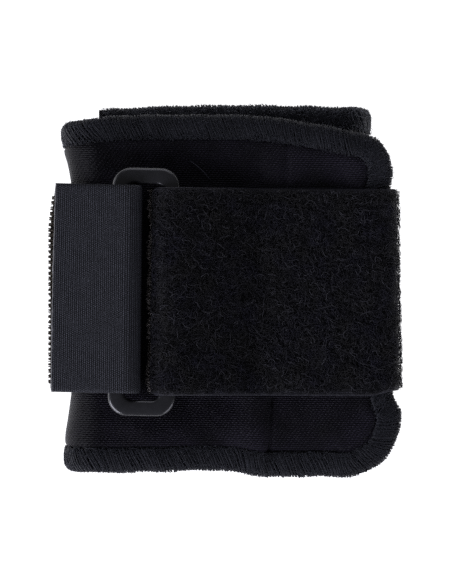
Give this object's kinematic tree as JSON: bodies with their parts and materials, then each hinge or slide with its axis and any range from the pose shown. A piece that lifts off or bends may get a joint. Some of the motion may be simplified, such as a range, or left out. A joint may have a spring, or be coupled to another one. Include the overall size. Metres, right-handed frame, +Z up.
{
  "type": "wrist support",
  "caption": "Rolled neoprene wrist support with overlocked edges, closed by a hook-and-loop strap through a plastic ring.",
  "frame": {"origin": "middle of the rolled band, on the flat surface that it lies on", "axes": "+X across the folded band towards its rounded outer end, +Y along the forearm, +Z up from the surface"},
  "size_m": [0.085, 0.0882, 0.0276],
  "materials": {
    "foam_rubber": "matte",
    "knit_fabric": "matte",
    "edging_thread": "matte",
    "pile_tape": "matte",
    "hook_tape": "matte",
    "ring_plastic": "satin"
  },
  "bodies": {
    "wrap": {"neoprene_core": "foam_rubber", "outer_knit_face": "knit_fabric", "lining_knit": "knit_fabric", "overlock_edge": "edging_thread", "overlock_inner_end": "edging_thread", "panel_seam_thread": "edging_thread", "pile_strap": "pile_tape", "ring_loop_stitching": "edging_thread", "pile_anchor_stitching": "edging_thread", "hook_strap": "hook_tape", "hook_anchor_stitching": "edging_thread"},
    "ring": {"strap_ring": "ring_plastic", "hook_strap_bend": "hook_tape"},
    "tab": {"hook_tab": "hook_tape"}
  },
  "joints": [
    {"name": "ring_tilt", "type": "hinge", "parent": "wrap", "child": "ring", "pos_m": [-0.0134, 0.00029, 0.0232], "axis": [0.0218, 0.9998, 0], "range_deg": [0, 35]},
    {"name": "tab_peel", "type": "hinge", "parent": "ring", "child": "tab", "pos_m": [-0.02049, 0.00045, 0.0233], "axis": [0.0218, 0.9998, 0], "range_deg": [0, 70]}
  ]
}
